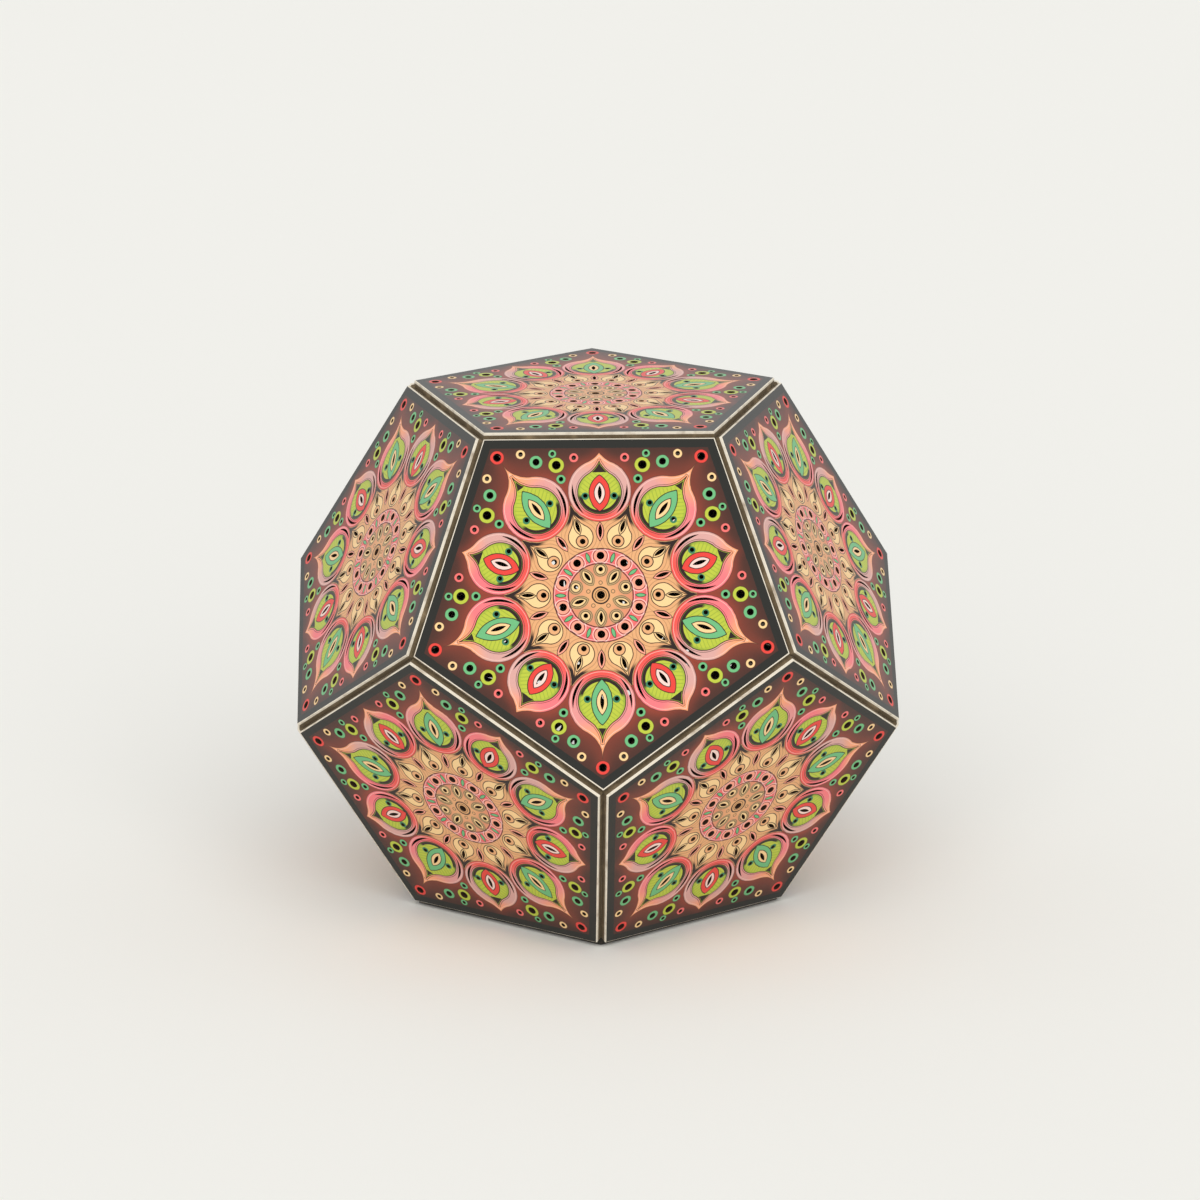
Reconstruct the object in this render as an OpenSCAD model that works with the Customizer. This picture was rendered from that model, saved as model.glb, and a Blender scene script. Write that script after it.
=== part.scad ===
// Paper dodecahedron lantern: twelve laser-cut panels, each a printed face card on a backing board,
// joined along their inner edges by folded paper strips. It stands on one of its faces.

/* [Panels] */
// Length of a panel's edge
panel_edge = 60; // [52:1:80]
// Thickness of the brown backing board
board_thickness = 1.5; // [1:0.1:2.2]
// Thickness of the face card without its print
card_thickness = 0.6; // [0.4:0.05:1]
// Thickness of the printed film
print_thickness = 0.1; // [0.06:0.02:0.2]
// Width of the plain border round each panel
border_width = 2.4; // [1.6:0.1:4]

/* [Joint strips] */
// Width of each leg of a folded strip
strip_width = 5; // [3.5:0.5:8]
// Thickness of the strip's paper
strip_thickness = 0.3; // [0.2:0.05:0.5]
// Space from the end of a strip to the panel's corner
strip_end_gap = 1; // [0.8:0.1:3]

/* [Rosette, in hundredths of the printed ground's inner radius] */
// Radius of the hole in the middle
eye_hole = 2.7; // [1.5:0.1:4]
// Radius of the middle ring
eye_ring = 5.6; // [5:0.1:7]
// Distance of the hub's slits from the middle
hub_slits = 15.2; // [14.4:0.1:15.6]
// Length of a hub slit
hub_slit_length = 7.2; // [6:0.1:9]
// Distance of the garland's holes from the middle
garland = 26.6; // [26.4:0.1:27.4]
// Width of the garland's band
garland_band = 10.4; // [8:0.1:10.6]
// Radius of a hole in the garland
garland_hole = 2.6; // [2:0.1:3.4]
// Radius of an inner leaf's body
leaf_body = 8.2; // [7.6:0.1:8.4]
// Reach of the inner leaves' tips beyond their bodies' centres
leaf_reach = 18; // [15:0.5:19]
// Reach of the tan ground between the petals
tan_reach = 64; // [63:0.1:65]
// Width of the straight slits in the hub, the tan ground and the leaves
slit_width = 2.6; // [1.6:0.1:3.2]

/* [Petals, in the same hundredths] */
// Distance of a corner petal's body from the middle
corner_petal = 72.5; // [72:0.1:73]
// Radius of a corner petal's body
corner_body = 22.2; // [21:0.1:22.6]
// Reach of a corner petal's tip
corner_tip = 110; // [107:0.5:111]
// Distance of a side petal's body from the middle
side_petal = 71; // [70.5:0.1:71.5]
// Radius of a side petal's body
side_body = 21; // [20:0.1:21.4]
// Reach of a side petal's tip
side_tip = 97; // [96:0.5:98.5]
// Width of a petal's coral rim
rim = 6.4; // [5.6:0.1:6.8]
// Width of the curved slits in the rim
crescent_width = 1.8; // [1.2:0.1:2.4]
// Length of the blade inside a corner petal
corner_blade = 31; // [28:0.5:32]
// Length of the blade inside a side petal
side_blade = 25; // [23:0.5:26]
// Greatest width of both blades
blade_width = 14; // [12:0.5:15]
// Width of the coloured edge round a blade's cream middle
blade_edge = 3.4; // [3:0.1:4]
// Width of the slit in a blade's middle
blade_slit = 2.7; // [2:0.1:3.4]
// Radius of the small round holes beside the blades
seed_hole = 1.5; // [1.2:0.1:1.9]

/* [Hidden] */
$fn = 32;

// A regular dodecahedron: tilt of the side faces from the vertical axis, and distance to a face
face_tilt = atan(2);
inner_radius = panel_edge * sqrt((25 + 11 * sqrt(5)) / 10) / 2;
panel_apothem = panel_edge / 2 / tan(36);
panel_corner = panel_edge / 2 / sin(36);
card_level = board_thickness;
print_level = card_level + card_thickness;
rest_height = inner_radius + print_level + print_thickness;

// Each panel: its name, its tilt, its azimuth and the turn of its outline and artwork
PANELS = concat(
    [["top", 0, 90, 0]],
    [for (i = [0:4]) [str("upper_", i + 1), face_tilt, 72 * i - 90, 0]],
    [for (i = [0:4]) [str("lower_", i + 1), 180 - face_tilt, 72 * i - 54, 180]],
    [["bottom", 180, -54, 0]]
);

// The artwork is drawn on the ground inside the border, in hundredths of its inner radius
ground_apothem = panel_apothem - border_width;
ground_corner = ground_apothem / cos(36);
art = ground_apothem / 100;

// Turns of the five corners, of the ten petals and of the ten places between them
corners = [0:72:288];
petal_turns = [0:36:324];
between = [18:36:342];

// Radius of the hollow sides of every tip, and of the round holes in the hub and the leaves
tip_hollow = 20;
hub_hole = slit_width / 2 + 0.3;
leaf_hole = slit_width / 2 + 0.6;

// Places of the hub's round holes, and of the cuts in and between the leaves
hub_hole_place = hub_slits + 2.2;
leaf_gap = 1.5;
leaf = garland + garland_band / 2 + leaf_gap + leaf_body;
leaf_hole_place = leaf - 3.4;
leaf_slit_place = leaf + 7.2;
leaf_slit_length = 9;
tan_slit_place = leaf + 1.8;
tan_slit_length = 10;

// Inside a rim, a petal's body sits a little lower and its tip draws in further than its sides
body_drop = 1.2;
corner_draw = 1.7;
side_draw = 0.9;

// A blade stands a small gap above the root of what is left inside the rim; its cream middle and its slit
// are shorter than it is
corner_blade_gap = 1;
side_blade_gap = 1.6;
corner_blade_middle = corner_petal - body_drop - (corner_body - rim) + corner_blade_gap + corner_blade / 2;
side_blade_middle = side_petal - body_drop - (side_body - rim) + side_blade_gap + side_blade / 2;
corner_tip_edges = 4;
side_tip_edges = 3;
corner_slit_length = corner_blade - 20;
side_slit_length = side_blade - 15;

// The round holes beside a blade stand a little below its middle
seed_drop = 2;
seed_offset = blade_width / 2 + seed_hole + 1.2;

// How far round a petal's body the curved slits sit, and how much flatter their inner arc is
crescent_turn = 110;
crescent_flatness = 1.1;

// Ring dots between the petals: distance, angle from the corner's axis, radius, and radius of the hole
dot_root = [83, 18, 3.1, 1.4];
dot_large = [93, 18, 5.2, 2.8];
dot_side = [95, 25.7, 3.1, 1.4];
dot_edge = [101.2, 18, 2.7, 1.2];
dot_shoulder = [100, 11, 4.4, 2.2];
dot_small = [109.4, 7.3, 3.1, 1.4];
dot_corner = [116, 0, 4.6, 2.6];
paired_dots = [dot_root, dot_large, dot_side, dot_edge, dot_shoulder, dot_small];

module on_panel(panel) {
    translate([0, 0, rest_height])
        rotate([0, panel[1], panel[2]]) translate([0, 0, inner_radius]) rotate(panel[3]) children();
}

// A round body with a pointed tip whose sides are hollow arcs, along +X
module flame(centre, body, tip, hollow) {
    reach = tip - centre;
    hollow_x = (body * body + 2 * body * hollow + reach * reach) / (2 * reach);
    hollow_y = sqrt(pow(body + hollow, 2) - hollow_x * hollow_x);
    share = body / (body + hollow);
    translate([centre, 0]) {
        circle(body);
        difference() {
            polygon([[0, 0], [hollow_x, -hollow_y] * share, [reach, 0], [hollow_x, hollow_y] * share]);
            for (side = [-1, 1]) translate([hollow_x, side * hollow_y]) circle(hollow);
        }
    }
}

// A pointed oval along +X, such as a slit or a blade
module lens(distance, length, width) {
    bow = (length * length + width * width) / (4 * width);
    translate([distance, 0]) intersection() {
        translate([0, bow - width / 2]) circle(bow);
        translate([0, width / 2 - bow]) circle(bow);
    }
}

// A curved slit in a petal's rim, on both sides
module crescents(centre, radius) {
    bend = radius * crescent_flatness;
    for (side = [-1, 1]) translate([centre, 0]) rotate(side * crescent_turn) difference() {
        circle(radius);
        translate([-bend, 0]) circle(radius + bend - crescent_width);
    }
}

// The same dot on both sides of each corner, or once on the corner's axis
module dots(place, radius) {
    for (turn = corners, side = place[1] == 0 ? [1] : [-1, 1])
        rotate(turn + side * place[1]) translate([place[0], 0]) circle(radius);
}

// The petals' outlines: their outside, or what is left inside the rim
module corner_petals(inside) {
    for (turn = corners) rotate(turn) flame(corner_petal - (inside ? body_drop : 0),
        corner_body - (inside ? rim : 0), corner_tip - (inside ? rim * corner_draw : 0), tip_hollow);
}

module side_petals(inside) {
    for (turn = corners) rotate(turn + 36) flame(side_petal - (inside ? body_drop : 0),
        side_body - (inside ? rim : 0), side_tip - (inside ? rim * side_draw : 0), tip_hollow);
}

module petal_bodies() {
    for (turn = corners) {
        rotate(turn) translate([corner_petal, 0]) circle(corner_body);
        rotate(turn + 36) translate([side_petal, 0]) circle(side_body);
    }
}

// The blades inside the petals, drawn in by an edge
module corner_blades(edge) {
    for (turn = corners) rotate(turn)
        lens(corner_blade_middle, corner_blade - corner_tip_edges * edge, blade_width - 2 * edge);
}

module side_blades(edge) {
    for (turn = corners) rotate(turn + 36)
        lens(side_blade_middle, side_blade - side_tip_edges * edge, blade_width - 2 * edge);
}

module leaves() {
    for (turn = between) rotate(turn) flame(leaf, leaf_body, leaf + leaf_reach, tip_hollow);
}

module garland_outline() {
    difference() {
        circle(garland + garland_band / 2);
        circle(garland - garland_band / 2);
    }
}

// Everything that is cut right through a panel
module cuts() {
    circle(eye_hole);
    for (turn = corners) {
        rotate(turn) {
            lens(hub_slits, hub_slit_length, slit_width);
            lens(corner_blade_middle, corner_slit_length, blade_slit);
            crescents(corner_petal - body_drop / 2, corner_body - rim / 2 + crescent_width / 2);
            for (side = [-1, 1]) translate([corner_blade_middle - seed_drop, side * seed_offset]) circle(seed_hole);
        }
        rotate(turn + 36) {
            translate([hub_hole_place, 0]) circle(hub_hole);
            lens(side_blade_middle, side_slit_length, blade_slit);
            crescents(side_petal - body_drop / 2, side_body - rim / 2 + crescent_width / 2);
            for (side = [-1, 1]) translate([side_blade_middle - seed_drop, side * seed_offset]) circle(seed_hole);
        }
    }
    for (turn = petal_turns) rotate(turn) {
        translate([garland, 0]) circle(garland_hole);
        lens(tan_slit_place, tan_slit_length, slit_width);
    }
    for (turn = between) rotate(turn) {
        translate([leaf_hole_place, 0]) circle(leaf_hole);
        lens(leaf_slit_place, leaf_slit_length, slit_width);
    }
    for (place = concat(paired_dots, [dot_corner])) dots(place, place[3]);
}

module ring_dots(places) {
    for (place = places) dots(place, place[2]);
}

// A field of colour: what is drawn, without what is cut through it
module field(panel) {
    on_panel(panel) translate([0, 0, print_level]) linear_extrude(print_thickness) scale(art) difference() {
        children();
        cuts();
    }
}

module plate(panel, level, thickness) {
    on_panel(panel) translate([0, 0, level]) linear_extrude(thickness) difference() {
        circle(panel_corner, $fn = 5);
        scale(art) cuts();
    }
}

module backing_board(panel) {
    color("saddlebrown") plate(panel, 0, board_thickness);
}

module face_card(panel) {
    color("antiquewhite") plate(panel, card_level, card_thickness);
}

// One leg of a strip on the inner face of a panel, along the side whose normal has this angle
module strip_leg(tilt, azimuth, side) {
    half_edge = panel_edge / 2 - strip_end_gap;
    half_inside = half_edge - strip_width * tan(36);
    translate([0, 0, rest_height]) rotate([0, tilt, azimuth]) rotate(side)
        translate([0, 0, inner_radius - strip_thickness]) linear_extrude(strip_thickness) polygon([
            [panel_apothem, -half_edge], [panel_apothem, half_edge],
            [panel_apothem - strip_width, half_inside], [panel_apothem - strip_width, -half_inside],
        ]);
}

// Five alike strips round the lantern; each leg is a tilt, an azimuth and the angle of a side
module joint_strips(first, second) {
    color("rosybrown") for (turn = corners) {
        strip_leg(first[0], first[1] + turn, first[2]);
        strip_leg(second[0], second[1] + turn, second[2]);
    }
}

module print_border() {
    color("darkslategray") for (panel = PANELS) on_panel(panel) translate([0, 0, print_level])
        linear_extrude(print_thickness) difference() {
            circle(panel_corner, $fn = 5);
            circle(ground_corner, $fn = 5);
        }
}

module print_coral() {
    color("coral") for (panel = PANELS) field(panel) difference() {
        union() {
            corner_petals(false);
            side_petals(false);
        }
        corner_petals(true);
        side_petals(true);
    }
}

module print_rose() {
    color("palevioletred") for (panel = PANELS) field(panel) garland_outline();
}

module print_lime() {
    color("yellowgreen") for (panel = PANELS) field(panel) {
        difference() {
            corner_petals(true);
            corner_blades(0);
        }
        difference() {
            side_petals(true);
            side_blades(0);
        }
        ring_dots([dot_large]);
    }
}

module print_mint() {
    color("mediumaquamarine") for (panel = PANELS) field(panel) {
        difference() {
            corner_blades(0);
            corner_blades(blade_edge);
        }
        ring_dots([dot_shoulder]);
    }
}

module print_red() {
    color("crimson") for (panel = PANELS) field(panel) {
        difference() {
            side_blades(0);
            side_blades(blade_edge);
        }
        ring_dots([dot_corner]);
    }
}

module print_cream() {
    color("moccasin") for (panel = PANELS) field(panel) {
        corner_blades(blade_edge);
        side_blades(blade_edge);
        leaves();
        circle(eye_ring);
    }
}

module print_tan() {
    color("burlywood") for (panel = PANELS) field(panel) difference() {
        circle(tan_reach);
        petal_bodies();
        leaves();
        garland_outline();
        circle(eye_ring);
    }
}

for (panel = PANELS) {
    backing_board(panel);
    face_card(panel);
}
joint_strips([0, -90, 0], [face_tilt, -90, 180]);  // joint_strips_top
joint_strips([face_tilt, -90, 108], [face_tilt, -18, 252]);  // joint_strips_upper
joint_strips([face_tilt, -90, 324], [180 - face_tilt, -126, 144]);  // joint_strips_middle_left
joint_strips([face_tilt, -90, 36], [180 - face_tilt, -54, 216]);  // joint_strips_middle_right
joint_strips([180 - face_tilt, -54, 72], [180 - face_tilt, 18, 288]);  // joint_strips_lower
joint_strips([180 - face_tilt, -54, 0], [180, -54, 180]);  // joint_strips_bottom
print_border();
print_coral();
print_rose();
print_lime();
print_mint();
print_red();
print_cream();
print_tan();
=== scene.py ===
import math

import bpy
import numpy as np
from mathutils import Matrix, Vector
from mathutils.geometry import delaunay_2d_cdt


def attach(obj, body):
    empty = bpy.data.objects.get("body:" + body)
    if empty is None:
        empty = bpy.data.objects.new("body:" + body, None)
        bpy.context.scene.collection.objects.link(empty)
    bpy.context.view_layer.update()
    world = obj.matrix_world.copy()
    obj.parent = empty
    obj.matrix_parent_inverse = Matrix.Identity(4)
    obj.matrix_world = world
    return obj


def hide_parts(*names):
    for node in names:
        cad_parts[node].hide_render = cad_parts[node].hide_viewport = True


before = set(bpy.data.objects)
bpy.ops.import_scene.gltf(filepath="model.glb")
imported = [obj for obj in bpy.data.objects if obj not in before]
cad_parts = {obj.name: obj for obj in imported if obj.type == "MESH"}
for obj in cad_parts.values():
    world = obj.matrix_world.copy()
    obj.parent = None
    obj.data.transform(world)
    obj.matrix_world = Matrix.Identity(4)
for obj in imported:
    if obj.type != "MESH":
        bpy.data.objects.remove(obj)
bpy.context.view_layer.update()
print("frame loaded")

# Colours are written as on screen, 0 to 255, and turned to the linear values that shaders use
def screenColour(red, green, blue):
    return tuple(c / 12.92 if c <= 0.04045 else ((c + 0.055) / 1.055) ** 2.4
                 for c in (red / 255, green / 255, blue / 255)) + (1.0,)


# Shader maths
# One output socket of a material, so that a sum or product of patterns adds its own Math nodes
class Strand:
    def __init__(self, paint, socket):
        self.paint = paint
        self.socket = socket

    def calc(self, operation, *others, clamp=False):
        settings = {"operation": operation, "use_clamp": clamp}
        return self.paint.node("ShaderNodeMath", settings, [self, *others])

    def __add__(self, other):
        return self.calc("ADD", other)

    def __sub__(self, other):
        return self.calc("SUBTRACT", other)

    def __rsub__(self, other):
        return self.paint.node("ShaderNodeMath", {"operation": "SUBTRACT"}, [other, self])

    def __mul__(self, other):
        return self.calc("MULTIPLY", other)

    def __truediv__(self, other):
        return self.calc("DIVIDE", other)

    def __gt__(self, other):
        return self.calc("GREATER_THAN", other)

    def __abs__(self):
        return self.calc("ABSOLUTE")

    def __neg__(self):
        return self.calc("MULTIPLY", -1.0)

    __radd__ = __add__
    __rmul__ = __mul__


# The nodes of one material
class Paint:
    def __init__(self, name):
        self.material = bpy.data.materials.new(name)
        self.material.use_nodes = True
        self.tree = self.material.node_tree
        self.tree.nodes.clear()

    # Any node: its settings first, then its sockets by place or by name
    def node(self, kind, settings=None, inputs=(), output=0):
        made = self.tree.nodes.new(kind)
        for name, value in (settings or {}).items():
            setattr(made, name, value)
        pairs = inputs.items() if isinstance(inputs, dict) else enumerate(inputs)
        for key, value in pairs:
            if isinstance(value, Strand):
                self.tree.links.new(value.socket, made.inputs[key])
            elif value is not None:
                made.inputs[key].default_value = value
        return Strand(self, made.outputs[output])

    # A colour between two others, by a factor from 0 to 1
    def mix(self, factor, first, second):
        return self.node("ShaderNodeMix", {"data_type": "RGBA", "clamp_factor": True},
                         {0: factor, 6: first, 7: second}, output=2)

    # Uneven patches from 0 to 1; scale is about how many there are in a metre
    def noise(self, place, scale, detail=2.0, roughness=0.5, distortion=0.0):
        return self.node("ShaderNodeTexNoise", None,
                         {"Vector": place, "Scale": scale, "Detail": detail, "Roughness": roughness,
                          "Distortion": distortion})

    # The place on the object, in metres
    def objectPlace(self):
        return self.node("ShaderNodeTexCoord", output=3)

    # The three parts of a vector
    def split(self, vector):
        parts = self.node("ShaderNodeSeparateXYZ", None, {"Vector": vector}).socket.node
        return [Strand(self, socket) for socket in parts.outputs]

    # Length of the arrow (x, y)
    def reach(self, x, y):
        return (x * x + y * y).calc("SQRT")

    def bump(self, height, distance, strength):
        return self.node("ShaderNodeBump", None,
                         {"Height": height, "Distance": distance, "Strength": strength})

    # The material's surface, with any further sockets of the shader
    def finish(self, colour, roughness, normal, settings=None):
        sockets = {"Base Color": colour, "Roughness": roughness, "Normal": normal, **(settings or {})}
        surface = self.node("ShaderNodeBsdfPrincipled", None, sockets)
        end = self.tree.nodes.new("ShaderNodeOutputMaterial")
        self.tree.links.new(surface.socket, end.inputs["Surface"])
        return self.material


# Sizes
# The panels as the CAD has them, in metres and degrees; a card's thickness is with its print
panelBuild = {
    "edge": 0.060,
    "boardThickness": 0.0015,
    "cardThickness": 0.0007,
    "borderWidth": 0.0024,
    "standHeight": 0.06901,  # from the foot to the lantern's middle
    "faceTilt": math.degrees(math.atan(2)),
    "edgeWear": 0.00012,  # height of a card's rubbed rim
    "edgeRub": 0.00024,  # how far that rim is drawn in
    "edgeWaver": 0.000035,  # unevenness of the cut edges
}
innerRadius = panelBuild["edge"] * math.sqrt((25 + 11 * math.sqrt(5)) / 10) / 2
panelApothem = panelBuild["edge"] / (2 * math.tan(math.radians(36)))
groundApothem = panelApothem - panelBuild["borderWidth"]
# The rosette is drawn in hundredths of the ground's inner radius
artUnit = groundApothem / 100
panelEdgeReach = panelApothem / artUnit
mapSpan = 300  # the map's square takes in this many hundredths

# The rosette as the CAD has it, in those hundredths and in degrees
rosette = {
    "eyeHole": 2.7, "eyeRing": 5.6,
    "hubSlits": 15.2, "hubSlitLength": 7.2, "hubHole": 1.6, "slitWidth": 2.6,
    "garland": 26.6, "garlandBand": 10.4, "garlandHole": 2.6,
    "leafBody": 8.2, "leafReach": 18, "leafHole": 1.9, "leafGap": 1.5,
    "leafSlitLength": 9, "tanSlitLength": 10,
    "tanReach": 64,
    "cornerPetal": 72.5, "cornerBody": 22.2, "cornerTip": 110,
    "sidePetal": 71, "sideBody": 21, "sideTip": 97,
    "rim": 6.4, "crescentWidth": 1.8, "crescentTurn": 110, "crescentFlatness": 1.1,
    "cornerBlade": 31, "sideBlade": 25, "bladeWidth": 14, "bladeEdge": 3.4, "bladeSlit": 2.7,
    "cornerBladeGap": 1, "sideBladeGap": 1.6, "cornerTipEdges": 4, "sideTipEdges": 3,
    "seedHole": 1.5, "seedDrop": 2, "seedGap": 1.2,
    "tipHollow": 20, "bodyDrop": 1.2, "cornerDraw": 1.7, "sideDraw": 0.9,
}
art = type("Art", (), rosette)
art.hubHolePlace = art.hubSlits + 2.2
art.leaf = art.garland + art.garlandBand / 2 + art.leafGap + art.leafBody
art.leafHolePlace = art.leaf - 3.4
art.leafSlitPlace = art.leaf + 7.2
art.tanSlitPlace = art.leaf + 1.8
# what is left inside the rims, and the blades that stand on its root
art.cornerInner = art.cornerBody - art.rim
art.sideInner = art.sideBody - art.rim
art.cornerBladeMiddle = (art.cornerPetal - art.bodyDrop - art.cornerInner
                         + art.cornerBladeGap + art.cornerBlade / 2)
art.sideBladeMiddle = art.sidePetal - art.bodyDrop - art.sideInner + art.sideBladeGap + art.sideBlade / 2
art.cornerSlitLength = art.cornerBlade - 20
art.sideSlitLength = art.sideBlade - 15
art.seedOffset = art.bladeWidth / 2 + art.seedHole + art.seedGap

# Round holes outside the rosette: distance, angle from the corner's axis, radius of the coloured ring,
# radius of the hole, colour
looseDots = [
    (83, 18, 3.1, 1.4, "mint"), (93, 18, 5.2, 2.8, "lime"), (95, 25.7, 3.1, 1.4, "rose"),
    (101.2, 18, 2.7, 1.2, "mint"), (100, 11, 4.4, 2.2, "mint"), (109.4, 7.3, 3.1, 1.4, "cream"),
    (116, 0, 4.6, 2.6, "red"),
]


# Outlines of the cuts, each a closed loop of points in the rosette's units
# A circle: centre plus radius times the cosine and sine of evenly spaced angles
def circleLoop(x, y, radius):
    count = 20 if radius < 2 else 28  # fewer points on the smallest holes
    turn = np.linspace(0, 2 * np.pi, count, endpoint=False)
    return np.column_stack([x + radius * np.cos(turn), y + radius * np.sin(turn)])


# A pointed oval: two equal arcs that meet in points at both ends
def lensLoop(distance, length, width):
    bow = (length ** 2 + width ** 2) / (4 * width)
    half = math.asin(length / 2 / bow)
    turn = np.linspace(-half, half, 11)[:-1]  # each arc without its last point, where the other starts
    arc = np.column_stack([bow * np.sin(turn), bow * (1 - np.cos(turn)) - width / 2])
    return np.vstack([arc, -arc]) + [distance, 0]


# A curved slit: out along a circle's arc and back along a larger circle's, whose middle is moved by the bend
def crescentLoop(centre, radius, side):
    bend = radius * art.crescentFlatness
    inner = radius + bend - art.crescentWidth
    meetX = (inner ** 2 - radius ** 2 - bend ** 2) / (2 * bend)
    meetY = math.sqrt(radius ** 2 - meetX ** 2)
    out = math.atan2(meetY, meetX)
    back = math.atan2(meetY, meetX + bend)
    first = np.linspace(-out, out, 15)[:-1]
    second = np.linspace(back, -back, 15)[:-1]
    loop = np.vstack([radius * np.column_stack([np.cos(first), np.sin(first)]),
                      inner * np.column_stack([np.cos(second), np.sin(second)]) - [bend, 0]])
    return turned(loop, side * art.crescentTurn) + [centre, 0]


def turned(loop, degrees):
    angle = math.radians(degrees)
    return loop @ np.array([[math.cos(angle), math.sin(angle)], [-math.sin(angle), math.cos(angle)]])


def cutLoops():
    loops = [circleLoop(0, 0, art.eyeHole)]
    corner = [lensLoop(art.hubSlits, art.hubSlitLength, art.slitWidth),
              lensLoop(art.cornerBladeMiddle, art.cornerSlitLength, art.bladeSlit)]
    between = [circleLoop(art.hubHolePlace, 0, art.hubHole),
               lensLoop(art.sideBladeMiddle, art.sideSlitLength, art.bladeSlit)]
    for side in (-1, 1):
        corner += [crescentLoop(art.cornerPetal - art.bodyDrop / 2,
                                art.cornerBody - art.rim / 2 + art.crescentWidth / 2, side),
                   circleLoop(art.cornerBladeMiddle - art.seedDrop, side * art.seedOffset, art.seedHole)]
        between += [crescentLoop(art.sidePetal - art.bodyDrop / 2,
                                 art.sideBody - art.rim / 2 + art.crescentWidth / 2, side),
                    circleLoop(art.sideBladeMiddle - art.seedDrop, side * art.seedOffset, art.seedHole)]
    for turn in range(0, 360, 72):
        loops += [turned(loop, turn) for loop in corner] + [turned(loop, turn + 36) for loop in between]
        for distance, angle, ring, hole, colour in looseDots:
            for side in ((-1, 1) if angle else (1,)):
                loops.append(turned(circleLoop(distance, 0, hole), turn + side * angle))
    for turn in range(0, 360, 36):
        loops += [turned(circleLoop(art.garland, 0, art.garlandHole), turn),
                  turned(lensLoop(art.tanSlitPlace, art.tanSlitLength, art.slitWidth), turn),
                  turned(circleLoop(art.leafHolePlace, 0, art.leafHole), turn + 18),
                  turned(lensLoop(art.leafSlitPlace, art.leafSlitLength, art.slitWidth), turn + 18)]
    return loops


# A pentagon's outline with each side divided evenly: the corners joined by straight steps
def pentagonLoop(apothem, steps):
    corner = np.radians(np.arange(5) * 72)
    points = apothem / math.cos(math.radians(36)) * np.column_stack([np.cos(corner), np.sin(corner)])
    share = np.arange(steps)[None, :, None] / steps
    return (points[:, None] * (1 - share) + np.roll(points, -1, axis=0)[:, None] * share).reshape(-1, 2)


# Which triangles fill a hole: all three corners lie on one loop, and a ray from the middle crosses that
# loop an odd number of times
def insideHoles(triangles, flat, starts):
    loopOf = np.searchsorted(starts, triangles, side="right") - 1
    same = (loopOf[:, 0] == loopOf[:, 1]) & (loopOf[:, 1] == loopOf[:, 2]) & (loopOf[:, 0] > 0)
    filling = np.zeros(len(triangles), dtype=bool)
    for number in np.unique(loopOf[same, 0]):
        chosen = np.flatnonzero(same & (loopOf[:, 0] == number))
        middle = flat[triangles[chosen]].mean(axis=1)[:, None]
        start = flat[starts[number]:starts[number + 1]][None]
        end = np.roll(start, -1, axis=1)
        spans = (start[..., 1] > middle[..., 1]) != (end[..., 1] > middle[..., 1])
        rise = np.where(spans, end[..., 1] - start[..., 1], 1)
        crossing = start[..., 0] + (middle[..., 1] - start[..., 1]) * (end[..., 0] - start[..., 0]) / rise
        filling[chosen] = (spans & (crossing > middle[..., 0])).sum(axis=1) % 2 == 1
    return filling


# One cut panel, flat: every loop is carried up through the thickness as a wall, and the two faces between
# the outline and the loops are filled with triangles.
# layers gives, from below, each level of the outer wall and how far it is drawn in there.
def cutPanel(layers):
    outline = pentagonLoop(panelApothem, 24)
    holes = [loop * artUnit for loop in cutLoops()]
    flat = np.vstack([outline, *holes])
    starts = np.cumsum([0, len(outline)] + [len(loop) for loop in holes])
    edges = np.vstack([np.column_stack([np.arange(a, b), np.roll(np.arange(a, b), -1)])
                       for a, b in zip(starts[:-1], starts[1:])])
    filled = delaunay_2d_cdt([Vector(p) for p in flat], edges.tolist(), [], 1, 1e-9)
    origin = np.array([o[0] for o in filled[3]])
    triangles = origin[np.array(filled[2])]
    triangles = triangles[~insideHoles(triangles, flat, starts)]
    inner = len(flat)
    outer = len(outline)
    rings = [outline * (1 - drawnIn / panelApothem) for level, drawnIn in layers]
    bottom, top = flat.copy(), flat.copy()
    bottom[:outer], top[:outer] = rings[0], rings[-1]
    points = [np.column_stack([bottom, np.full(inner, layers[0][0])]),
              np.column_stack([top, np.full(inner, layers[-1][0])])]
    points += [np.column_stack([ring, np.full(outer, level)])
               for ring, (level, drawnIn) in zip(rings[1:-1], layers[1:-1])]
    points = np.vstack(points)
    # the outer wall's vertex rows, from below
    rows = [np.arange(outer)] + [2 * inner + outer * k + np.arange(outer) for k in range(len(layers) - 2)]
    rows.append(inner + np.arange(outer))
    walls = []
    for low, high in zip(rows[:-1], rows[1:]):
        walls.append(np.column_stack([low, np.roll(low, -1), np.roll(high, -1), high]))
    outerWalls = np.vstack(walls)
    first, second = edges[outer:].T
    holeWalls = np.column_stack([second, first, first + inner, second + inner])
    corners = np.concatenate([triangles[:, ::-1].ravel(), (triangles + inner).ravel(),
                              outerWalls.ravel(), holeWalls.ravel()])
    sizes = np.concatenate([np.full(2 * len(triangles), 3), np.full(len(outerWalls) + len(holeWalls), 4)])
    kinds = np.concatenate([np.full(len(triangles), 3), np.zeros(len(triangles)),
                            np.full(len(outerWalls), 1), np.full(len(holeWalls), 2)]).astype(int)
    return {"points": points, "corners": corners, "sizes": sizes, "kinds": kinds,
            "outer": np.concatenate(rows)}


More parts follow.
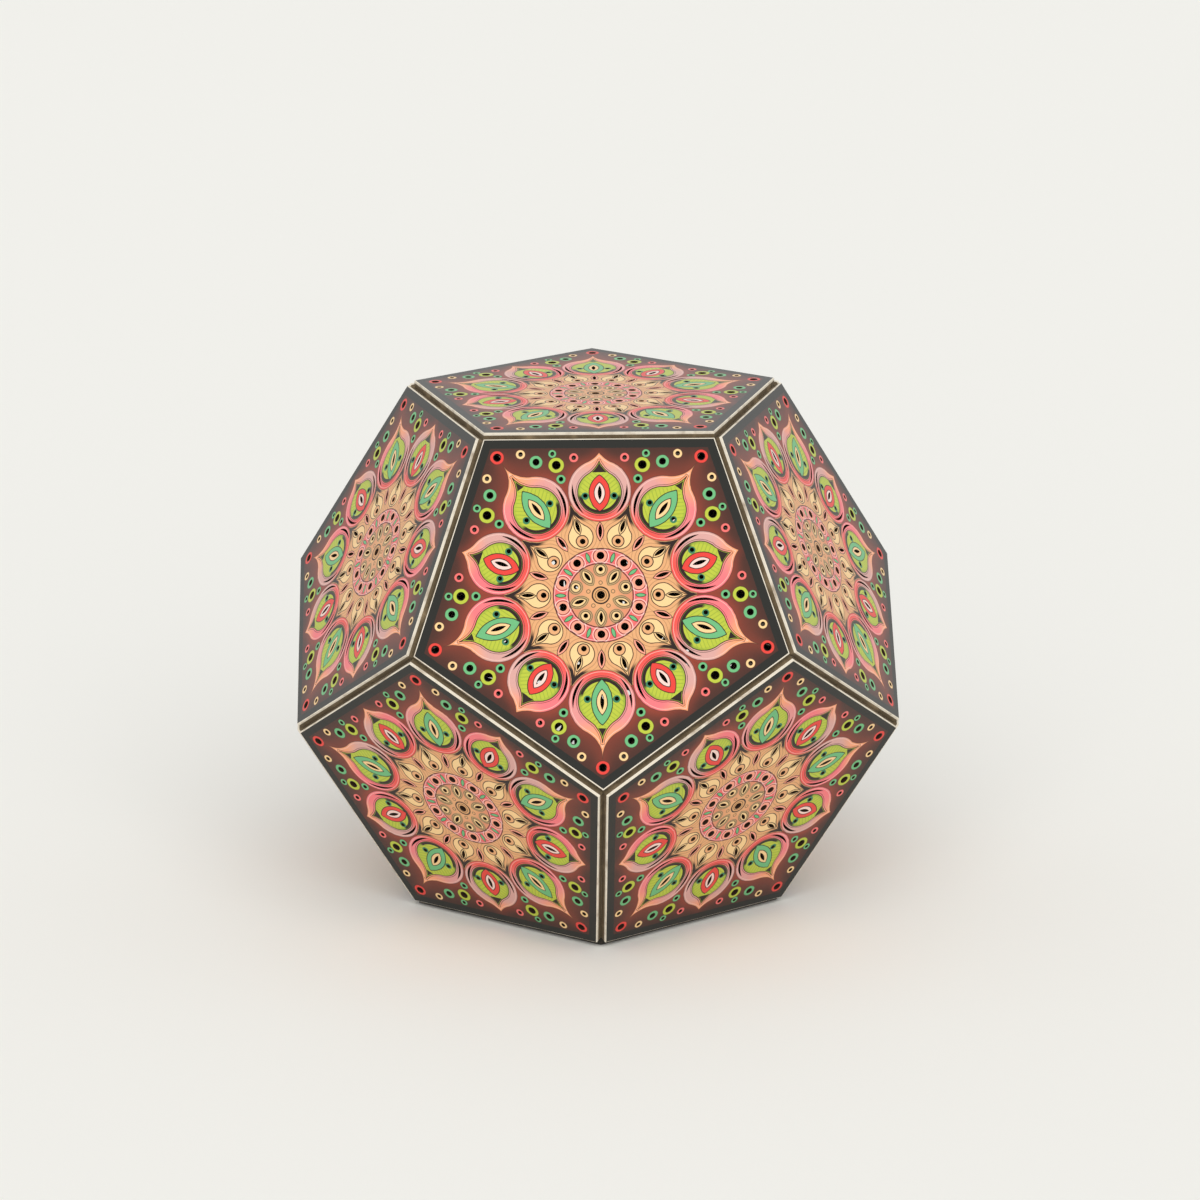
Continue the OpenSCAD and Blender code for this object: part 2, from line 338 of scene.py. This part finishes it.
# A mesh object from arrays: the points go in with foreach_set, and the map keeps each point's place on the
# flat panel. The outer edges waver by a running mean of seven random draws.
def meshPiece(name, shape, placing, materials, seed):
    points = shape["points"].copy()
    waver = np.random.default_rng(seed).normal(0, 1, len(shape["outer"]))
    waver = np.convolve(np.concatenate([waver[-3:], waver, waver[:3]]), np.ones(7) / 7, "valid")
    drawIn = 1 - panelBuild["edgeWaver"] * np.abs(waver) / panelApothem
    points[shape["outer"], :2] *= drawIn[:, None]
    flat = points[:, :2] / artUnit / mapSpan + 0.5
    matrix = np.array(placing)
    placed = points @ matrix[:3, :3].T + matrix[:3, 3]
    mesh = bpy.data.meshes.new(name)
    mesh.vertices.add(len(placed))
    mesh.vertices.foreach_set("co", placed.astype(np.float32).ravel())
    mesh.loops.add(len(shape["corners"]))
    mesh.loops.foreach_set("vertex_index", shape["corners"])
    starts = np.concatenate([[0], np.cumsum(shape["sizes"])[:-1]])
    mesh.polygons.add(len(shape["sizes"]))
    mesh.polygons.foreach_set("loop_start", starts)
    mesh.polygons.foreach_set("material_index", shape["kinds"])
    mesh.polygons.foreach_set("use_smooth", np.zeros(len(shape["sizes"]), dtype=bool))
    layer = mesh.uv_layers.new(name="panelMap")
    layer.uv.foreach_set("vector", flat[shape["corners"]].astype(np.float32).ravel())
    mesh.update(calc_edges=True)
    mesh.validate()
    for material in materials:
        mesh.materials.append(material)
    piece = bpy.data.objects.new(name, mesh)
    bpy.context.scene.collection.objects.link(piece)
    return piece


# Where each panel sits: its name, tilt and azimuth in degrees, and the turn of its drawing
panelPlaces = [("top", 0, 90, 0)]
panelPlaces += [(f"upper_{i}", panelBuild["faceTilt"], 72 * (i - 1) - 90, 0) for i in range(1, 6)]
panelPlaces += [(f"lower_{i}", 180 - panelBuild["faceTilt"], 72 * (i - 1) - 54, 180) for i in range(1, 6)]
panelPlaces += [("bottom", 180, -54, 0)]


def panelMatrix(tilt, azimuth, turn):
    return (Matrix.Translation((0, 0, panelBuild["standHeight"]))
            @ Matrix.Rotation(math.radians(azimuth), 4, "Z") @ Matrix.Rotation(math.radians(tilt), 4, "Y")
            @ Matrix.Translation((0, 0, innerRadius)) @ Matrix.Rotation(math.radians(turn), 4, "Z"))


# Finishes
printLook = {
    "ground": screenColour(105, 50, 36),
    "groundGlow": screenColour(160, 64, 44),
    "groundDark": screenColour(70, 39, 30),
    "slate": screenColour(31, 32, 28),
    "coral": screenColour(252, 166, 118),
    "pink": screenColour(246, 122, 128),
    "mauve": screenColour(218, 166, 158),
    "rootRed": screenColour(236, 84, 76),
    "lime": screenColour(186, 198, 62),
    "limeDark": screenColour(124, 150, 50),
    "mint": screenColour(108, 184, 124),
    "mintDark": screenColour(54, 124, 90),
    "red": screenColour(230, 66, 56),
    "blush": screenColour(248, 214, 202),
    "cream": screenColour(248, 208, 148),
    "tan": screenColour(230, 171, 119),
    "tanDark": screenColour(222, 166, 110),
    "salmon": screenColour(224, 144, 108),
    "rose": screenColour(243, 114, 110),
    "roseLight": screenColour(249, 163, 138),
    "roseDark": screenColour(216, 94, 98),
    "ink": screenColour(36, 20, 14),
    "olive": screenColour(112, 96, 66),
    "sage": screenColour(178, 170, 118),
    "scorch": screenColour(52, 34, 26),
    "fleck": screenColour(226, 220, 208),
    "shift": (-0.3, 0.12),  # how far the print lies beside the cuts, in hundredths
    "line": 0.6,  # width of the dark lines, in hundredths
    "speckle": 0.07,
    "roughness": 0.28, "grainHeight": 0.00003, "refraction": 1.4,
}


# The printed drawing. Every field is a depth, which is above zero inside it. Places and widths are in the
# rosette's hundredths.
def printMaterial():
    paint = Paint("facePrint")
    look = printLook
    place = paint.objectPlace()
    panelMap = paint.node("ShaderNodeUVMap", {"uv_map": "panelMap"})
    cutX, cutY = [(part - 0.5) * mapSpan for part in paint.split(panelMap)[:2]]
    # the print lies a little beside the cuts, and its lines waver by a hair
    waver = (paint.noise(place, 900) - 0.5) * 0.5
    x = cutX + look["shift"][0] + waver
    y = cutY + look["shift"][1] - waver
    radius = paint.reach(x, y)
    angle = y.calc("ARCTAN2", x)

    # The angle from the nearest of evenly spaced axes: the angle less the spacing times the rounded quotient
    def folded(turn, offset, spacing):
        start, step = math.radians(offset), math.radians(spacing)
        return turn - start - ((turn - start) / step).calc("ROUND") * step

    # Place along the nearest axis, and aside from it
    def local(offset, spacing):
        turn = folded(angle, offset, spacing)
        return radius * turn.calc("COSINE"), abs(radius * turn.calc("SINE"))

    # 1 inside a field and 0 outside it, with a narrow soft edge
    def inside(depth, soft=0.25):
        return depth.calc("MULTIPLY_ADD", 1 / soft, 0.5, clamp=True)

    # A line of this width, at this depth inside a field's edge
    def outlined(depth, at, width):
        return inside(width / 2 - abs(depth - at))

    def ease(value, low, high):
        return paint.node("ShaderNodeMapRange", {"interpolation_type": "SMOOTHSTEP"},
                          [value, low, high, 0.0, 1.0])

    # Depth inside a round body with a pointed tip: the body's radius less the distance from its middle,
    # and in the tip the distance from the hollow side's middle less that side's radius
    def flameDepth(along, aside, centre, body, tip):
        hollow = art.tipHollow
        reach = tip - centre
        hollowX = (body ** 2 + 2 * body * hollow + reach ** 2) / (2 * reach)
        hollowY = math.sqrt((body + hollow) ** 2 - hollowX ** 2)
        offset = along - centre
        fromBody = body - paint.reach(offset, aside)
        fromSide = paint.reach(offset - hollowX, aside - hollowY) - hollow
        inTip = offset * hollowY > aside * hollowX
        return fromBody + inTip * (fromSide.calc("MINIMUM", reach - offset) - fromBody)

    # Depth inside a pointed oval: the arc's radius less the distance from the arc's middle
    def lensDepth(along, aside, centre, length, width):
        bow = (length ** 2 + width ** 2) / (4 * width)
        return bow - paint.reach(along - centre, aside + (bow - width / 2))

    def discDepth(along, aside, centre, size):
        return size - paint.reach(along - centre, aside)

    cornerX, cornerY = local(0, 72)
    sideX, sideY = local(36, 72)
    leafX, leafY = local(18, 36)
    petalX, petalY = local(0, 36)
    petalSigned = radius * folded(angle, 0, 36).calc("SINE")
    petalNumber = (angle / math.radians(36)).calc("ROUND")

    cornerPetal = flameDepth(cornerX, cornerY, art.cornerPetal, art.cornerBody, art.cornerTip)
    sidePetal = flameDepth(sideX, sideY, art.sidePetal, art.sideBody, art.sideTip)
    cornerInner = flameDepth(cornerX, cornerY, art.cornerPetal - art.bodyDrop, art.cornerInner,
                             art.cornerTip - art.rim * art.cornerDraw)
    sideInner = flameDepth(sideX, sideY, art.sidePetal - art.bodyDrop, art.sideInner,
                           art.sideTip - art.rim * art.sideDraw)
    petal = cornerPetal.calc("MAXIMUM", sidePetal)
    inner = cornerInner.calc("MAXIMUM", sideInner)
    leaf = flameDepth(leafX, leafY, art.leaf, art.leafBody, art.leaf + art.leafReach)
    cornerBlade = lensDepth(cornerX, cornerY, art.cornerBladeMiddle, art.cornerBlade, art.bladeWidth)
    sideBlade = lensDepth(sideX, sideY, art.sideBladeMiddle, art.sideBlade, art.bladeWidth)
    coreWidth = art.bladeWidth - 2 * art.bladeEdge
    cornerCore = lensDepth(cornerX, cornerY, art.cornerBladeMiddle,
                           art.cornerBlade - art.cornerTipEdges * art.bladeEdge, coreWidth)
    sideCore = lensDepth(sideX, sideY, art.sideBladeMiddle,
                         art.sideBlade - art.sideTipEdges * art.bladeEdge, coreWidth)
    garland = art.garlandBand / 2 - abs(radius - art.garland)
    garlandHole = discDepth(petalX, petalY, art.garland, art.garlandHole)
    groundDepth = 100 - sideX
    cutTurn = folded(cutY.calc("ARCTAN2", cutX), 36, 72)
    edgeDepth = panelEdgeReach - paint.reach(cutX, cutY) * cutTurn.calc("COSINE")

    mottle = paint.noise(place, 160, 4, 0.6)
    speckle = paint.noise(place, 1600, 2, 0.7)

    # brown ground, red close to the petals and darker towards the border
    colour = paint.mix(ease(groundDepth, 15, 0), look["ground"], look["groundDark"])
    glow = ease(petal, -8, 0.5) * (0.2 + 0.6 * ease(radius, 102, 78)) * (0.7 + 0.4 * mottle)
    colour = paint.mix(glow, colour, look["groundGlow"])

    # loose dots
    for distance, degrees, ring, hole, name in looseDots:
        turn = math.radians(degrees)
        dotX, dotY = distance * math.cos(turn), distance * math.sin(turn)
        dot = ring - paint.reach(cornerX - dotX, cornerY - dotY)
        colour = paint.mix(inside(dot), colour, look[name])
        colour = paint.mix(inside(dot - (ring - hole - 0.15)), colour, look["ink"])
        colour = paint.mix(outlined(dot, 0, 0.4) * 0.5, colour, look["ink"])

    # tan field with fine echo lines round the leaves
    field = art.tanReach - radius
    shade = ease(radius, art.leaf, art.tanReach)
    tan = paint.mix(shade * 0.6, look["tan"], look["tanDark"])
    echo = outlined(leaf, -2.4, 0.5).calc("MAXIMUM", outlined(leaf, -4.8, 0.4))
    tan = paint.mix(echo * (radius > art.garland + 4) * 0.35, tan, look["ink"])
    besidePetals = outlined(petal, -1.6, 2.1) * ease(radius, 50, 54)
    tan = paint.mix(besidePetals, tan, look["ink"])
    slitRing = lensDepth(petalX, petalY, art.tanSlitPlace, art.tanSlitLength + 3, art.slitWidth + 2.4)
    tan = paint.mix(inside(slitRing), tan, look["roseLight"])
    tan = paint.mix(outlined(slitRing, 0, 0.5), tan, look["ink"])
    colour = paint.mix(inside(field), colour, tan)

    # leaves
    leafCore = discDepth(leafX, leafY, art.leafHolePlace + 0.4, 4.0)
    leafTip = art.leaf + art.leafReach
    leafColour = paint.mix(ease(leafX, art.leaf + 8, leafTip), look["cream"], look["tanDark"])
    leafColour = paint.mix(inside(leafCore), leafColour, look["tan"])
    leafColour = paint.mix(outlined(leafCore, 0, 0.7), leafColour, look["ink"])
    leafSlitRing = lensDepth(leafX, leafY, art.leafSlitPlace, art.leafSlitLength + 2, art.slitWidth + 1.8)
    leafColour = paint.mix(outlined(leafSlitRing, 0, 0.6), leafColour, look["ink"])
    colour = paint.mix(inside(leaf), colour, leafColour)
    colour = paint.mix(outlined(leaf, 0, look["line"]) * inside(field), colour, look["ink"])

    # hub: olive lines on tan, with a ringed middle
    hubCorner = lensDepth(cornerX, cornerY, art.hubSlits, art.hubSlitLength + 3.4, art.slitWidth + 3)
    hubSide = discDepth(sideX, sideY, art.hubHolePlace, 3.3)
    hubPetal = hubCorner.calc("MAXIMUM", hubSide)
    hub = paint.mix(ease(radius, 6, art.garland - 8), look["tan"], look["salmon"])
    hub = paint.mix(ease(hubPetal, -2.2, -1.0) * 0.55, hub, look["sage"])
    hub = paint.mix(outlined(hubPetal, -1.2, 0.5), hub, look["olive"])
    hub = paint.mix(inside(hubPetal), hub, look["cream"])
    hub = paint.mix(outlined(hubPetal, 0, 0.8), hub, look["olive"])
    hub = paint.mix(outlined(discDepth(sideX, sideY, 8.6, 1.2), 0, 0.5), hub, look["olive"])
    hub = paint.mix(inside(art.eyeRing - radius), hub, look["tanDark"])
    hub = paint.mix(outlined(art.eyeRing - radius, 0, 1.0), hub, look["ink"])
    hub = paint.mix(outlined(art.eyeRing - radius, 1.9, 0.4), hub, look["ink"])
    colour = paint.mix(inside(art.garland - art.garlandBand / 2 - radius + 0.2), colour, hub)

    # garland: a rose band, lighter round each hole, with mint beads between
    band = paint.mix(ease(abs(radius - art.garland), 1, art.garlandBand / 2), look["rose"], look["roseDark"])
    band = paint.mix(inside(garlandHole + 2.0), band, look["roseLight"])
    band = paint.mix(outlined(garlandHole, -2.0, 0.4), band, look["ink"])
    band = paint.mix(outlined(garlandHole, -2.9, 0.5), band, look["blush"])
    bead = lensDepth(leafX, leafY, art.garland, 7.4, 2.6)
    band = paint.mix(inside(bead), band, look["mint"])
    band = paint.mix(outlined(bead, 0, 0.45), band, look["ink"])
    colour = paint.mix(inside(garland), colour, band)
    colour = paint.mix(outlined(garland, 0.1, 0.6), colour, look["ink"])
    colour = paint.mix(outlined(garland, 1.1, 0.4) * 0.8, colour, look["blush"])

    # petals: a rim that turns from red at the root through pink or mauve to coral at the tip, round a
    # lime body with slanting veins
    sway = (petalNumber * 2.3).calc("SINE")
    hue = ease(petalSigned * sway / 9 + (mottle - 0.5) * 1.2, -1, 1)
    rim = paint.mix(hue, look["pink"], look["mauve"])
    rim = paint.mix(ease(petalX, 66, 52), rim, look["rootRed"])
    rim = paint.mix(ease(petalX, 82, 96), rim, look["coral"])
    rim = paint.mix(outlined(petal, 1.3, 0.35) * 0.7, rim, look["blush"])
    rim = paint.mix(outlined(inner, -1.2, 0.4) * 0.8, rim, look["ink"])
    leafy = paint.mix(ease(petalX, 60, 90), look["limeDark"], look["lime"])
    leafy = paint.mix(ease(inner, 0.4, 2.6), leafy, look["lime"])
    vein = (petalX * 1.9 - petalY * 1.5).calc("SINE")
    leafy = paint.mix(inside(vein - 0.72, 0.3) * ease(inner, 0.6, 1.6) * 0.45, leafy, look["limeDark"])
    colour = paint.mix(inside(petal), colour, rim)
    colour = paint.mix(inside(inner), colour, leafy)
    colour = paint.mix(outlined(inner, 0, look["line"]), colour, look["ink"])
    colour = paint.mix(outlined(petal, 0, look["line"]) * 0.6, colour, look["ink"])
    # dark wedges in the tips, dark arcs along the roots, and a blade with its core in each petal
    cornerWedge = (cornerX > 89.5) * inside(cornerInner - 0.6)
    sideWedge = (sideX > 83.5) * inside(sideInner - 0.5)
    tips = cornerWedge.calc("MAXIMUM", sideWedge)
    roots = outlined(inner, 1.5, 2.1) * ease(petalX, 69, 66)
    colour = paint.mix(tips.calc("MAXIMUM", roots), colour, look["ink"])
    blades = ((cornerBlade, cornerCore, "mint", "cream"), (sideBlade, sideCore, "red", "blush"))
    for blade, core, shell, heart in blades:
        colour = paint.mix(inside(blade), colour, look[shell])
        colour = paint.mix(outlined(blade, 0, look["line"]), colour, look["ink"])
        colour = paint.mix(inside(core), colour, look[heart])
        colour = paint.mix(outlined(core, 0, look["line"]), colour, look["ink"])
    seeds = ((cornerX, cornerY, art.cornerBladeMiddle), (sideX, sideY, art.sideBladeMiddle))
    for seedX, seedY, middle in seeds:
        seed = art.seedHole + 1.0 - paint.reach(seedX - (middle - art.seedDrop), seedY - art.seedOffset)
        colour = paint.mix(inside(seed), colour, look["mintDark"])

    # slate border, and small pale flecks where the print is rubbed off at the panel's edge
    colour = paint.mix(inside(-groundDepth), colour, look["slate"])
    colour = paint.mix(speckle * look["speckle"], colour, look["scorch"])
    rubbed = ease(edgeDepth, 0.6, 0.0) * ease(paint.noise(place, 420, 4, 0.7), 0.55, 0.64)
    colour = paint.mix(rubbed, colour, look["fleck"])

    roughness = look["roughness"] + speckle * 0.1
    grain = speckle * 0.5 + paint.noise(place, 3800, 2, 0.6) * 0.5
    normal = paint.bump(grain, look["grainHeight"], 0.1)
    return paint.finish(colour, roughness, normal, {"IOR": look["refraction"]})


cardLook = {
    "core": screenColour(226, 216, 198), "coreDark": screenColour(150, 128, 104),
    "coreLight": screenColour(240, 232, 216),
    "scorchDark": screenColour(30, 20, 15), "scorchLight": screenColour(84, 58, 42),
    # near-black edge colours: painted shade for the bottom panel's edges
    "edgeShade": screenColour(34, 31, 27), "edgeShadeLight": screenColour(62, 56, 48),
    "liner": screenColour(206, 196, 180),
    "board": screenColour(126, 110, 84), "boardDark": screenColour(74, 62, 46),
    "fibre": screenColour(160, 140, 110),
    "strip": screenColour(178, 160, 140), "stripLight": screenColour(200, 184, 164),
}


# Card, board and paper: fine fibres from dark to light, with wider spots over them
def fibreMaterial(name, dark, light, spots, scale, roughness):
    paint = Paint(name)
    place = paint.objectPlace()
    fibres = paint.noise(place, scale, 6, 0.7, 0.6)
    blotches = paint.noise(place, scale / 9, 3, 0.6)
    colour = paint.mix(fibres, dark, light)
    cover = paint.node("ShaderNodeMapRange", None, [blotches, 0.52, 0.78, 0.0, 0.85])
    colour = paint.mix(cover, colour, spots)
    normal = paint.bump(fibres, 0.00006, 0.8)
    return paint.finish(colour, roughness + 0.1 * fibres, normal)


print("materials")
facePrint = printMaterial()
# each finish: its dark, light and spot colours, its fibres' scale and its roughness
finishBuild = {
    "cardCore": ("core", "coreLight", "coreDark", 1500, 0.75),
    "burntCut": ("scorchDark", "scorchLight", "scorchDark", 1300, 0.8),
    "cardLiner": ("liner", "core", "coreDark", 900, 0.8),
    "boardEdge": ("boardDark", "board", "fibre", 1200, 0.85),
    # painted shade: a near-black finish for the bottom panel's card and board edges
    "paintedShadeEdge": ("edgeShade", "edgeShadeLight", "edgeShade", 1200, 0.7),
    "boardFace": ("board", "fibre", "boardDark", 700, 0.85),
    "stripPaper": ("strip", "stripLight", "coreDark", 800, 0.8),
}
finishes = {}
for name, (dark, light, spots, scale, roughness) in finishBuild.items():
    finishes[name] = fibreMaterial(name, cardLook[dark], cardLook[light], cardLook[spots], scale, roughness)

print("panels")
low = panelBuild["boardThickness"]
high = low + panelBuild["cardThickness"]
boardShape = cutPanel([(0.0, 0.0), (low, 0.0)])
cardShape = cutPanel([(low, 0.0), (high - panelBuild["edgeWear"], 0.0), (high, panelBuild["edgeRub"])])
printNodes = sorted(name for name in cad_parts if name.startswith("print_"))
cardSeed, boardSeed = 40, 80  # the first seeds of the wavering edges
for number, (panel, tilt, azimuth, turn) in enumerate(panelPlaces):
    placing = panelMatrix(tilt, azimuth, turn)
    # painted shade: the panel that the lantern stands on is coloured near-black all along its edges, standing
    # for the shade of the grooves and the contact shadow under the lower panels
    cardRim, boardRim = ("paintedShadeEdge", "paintedShadeEdge") if panel == "bottom" else ("cardCore", "boardEdge")
    cardMaterials = [facePrint] + [finishes[name] for name in (cardRim, "burntCut", "cardLiner")]
    boardMaterials = [finishes[name] for name in ("boardFace", boardRim, "burntCut", "boardFace")]
    card = meshPiece(f"printedCard_{panel}", cardShape, placing, cardMaterials, cardSeed + number)
    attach(card, "root")
    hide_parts(f"face_card_{panel}", *printNodes)
    board = meshPiece(f"cutBoard_{panel}", boardShape, placing, boardMaterials, boardSeed + number)
    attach(board, "root")
    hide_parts(f"backing_board_{panel}")

print("joint strips")
for name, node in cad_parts.items():
    if name.startswith("joint_strips"):
        for materialSlot in node.material_slots:
            materialSlot.material = finishes["stripPaper"]

# Stage
stageLook = {
    "floor": (0.906, 0.903, 0.868, 1.0), "floorDark": (0.89, 0.886, 0.848, 1.0),
    "floorReach": 8, "floorLevel": -0.00012,  # half the floor's width, and its level just under the foot
    "sky": (1.0, 1.0, 0.995, 1.0),
    "skyLight": 0.62,  # strength of the sky's light on the lantern
    "skySheen": 0.9,  # its strength where it is seen or mirrored
    "sunLight": 1.72, "sunWidth": 70, "sunFrom": (0.05, -1.0, 0.85), "sunColour": (1.0, 0.99, 0.97),
}


def makeStage():
    floor = bpy.data.meshes.new("floor")
    reach, level = stageLook["floorReach"], stageLook["floorLevel"]
    corners = [(-reach, -reach, level), (reach, -reach, level), (reach, reach, level), (-reach, reach, level)]
    floor.from_pydata(corners, [], [(0, 1, 2, 3)])
    ground = bpy.data.objects.new("floor", floor)
    bpy.context.scene.collection.objects.link(ground)
    paint = Paint("floorPaper")
    tone = paint.noise(paint.objectPlace(), 3.0)
    colour = paint.mix(tone * 0.3, stageLook["floor"], stageLook["floorDark"])
    floor.materials.append(paint.finish(colour, 0.9, None, {"Specular IOR Level": 0.2}))
    world = bpy.data.worlds.new("studio")
    bpy.context.scene.world = world
    world.use_nodes = True
    back = world.node_tree.nodes["Background"]
    back.inputs["Color"].default_value = stageLook["sky"]
    # the studio's pale walls are brighter where they are seen or mirrored than the light they give
    light = world.node_tree.nodes.new("ShaderNodeLightPath")
    seen = world.node_tree.nodes.new("ShaderNodeMath")
    seen.operation = "MAXIMUM"
    strength = world.node_tree.nodes.new("ShaderNodeMapRange")
    world.node_tree.links.new(light.outputs["Is Camera Ray"], seen.inputs[0])
    world.node_tree.links.new(light.outputs["Is Glossy Ray"], seen.inputs[1])
    world.node_tree.links.new(seen.outputs[0], strength.inputs["Value"])
    strength.inputs["To Min"].default_value = stageLook["skyLight"]
    strength.inputs["To Max"].default_value = stageLook["skySheen"]
    world.node_tree.links.new(strength.outputs[0], back.inputs["Strength"])
    lamp = bpy.data.lights.new("softLight", "SUN")
    lamp.energy = stageLook["sunLight"]
    lamp.angle = math.radians(stageLook["sunWidth"])
    lamp.color = stageLook["sunColour"]
    sun = bpy.data.objects.new("softLight", lamp)
    sun.visible_glossy = False
    sun.rotation_euler = Vector(stageLook["sunFrom"]).to_track_quat("Z", "Y").to_euler()
    bpy.context.scene.collection.objects.link(sun)


# The camera as fitted to the panels' corners in the photo. Its place is in panel edges from the lantern's
# middle, before the turn about the vertical axis.
cameraBuild = {
    "place": (0.017, -24.706, 7.397),
    "turn": -1.18, "dip": 16.26, "roll": -0.15,  # degrees
    "sensor": 36,  # mm
    "reachPixels": 5721, "framePixels": 1200,  # focal length and frame width in the photo's pixels
}


def makeCamera():
    turn = Matrix.Rotation(math.radians(cameraBuild["turn"]), 4, "Z")
    seat = turn @ Vector(cameraBuild["place"]) * panelBuild["edge"]
    camera = bpy.data.cameras.new("camera")
    camera.sensor_width = cameraBuild["sensor"]
    camera.lens = cameraBuild["sensor"] * cameraBuild["reachPixels"] / cameraBuild["framePixels"]
    camera.clip_start = 0.05
    holder = bpy.data.objects.new("camera", camera)
    holder.matrix_world = (Matrix.Translation(seat + Vector((0, 0, panelBuild["standHeight"]))) @ turn
                           @ Matrix.Rotation(math.radians(90 - cameraBuild["dip"]), 4, "X")
                           @ Matrix.Rotation(math.radians(cameraBuild["roll"]), 4, "Z"))
    bpy.context.scene.collection.objects.link(holder)
    bpy.context.scene.camera = holder


print("stage and camera")
makeStage()
makeCamera()
bpy.context.scene.view_settings.view_transform = "Standard"
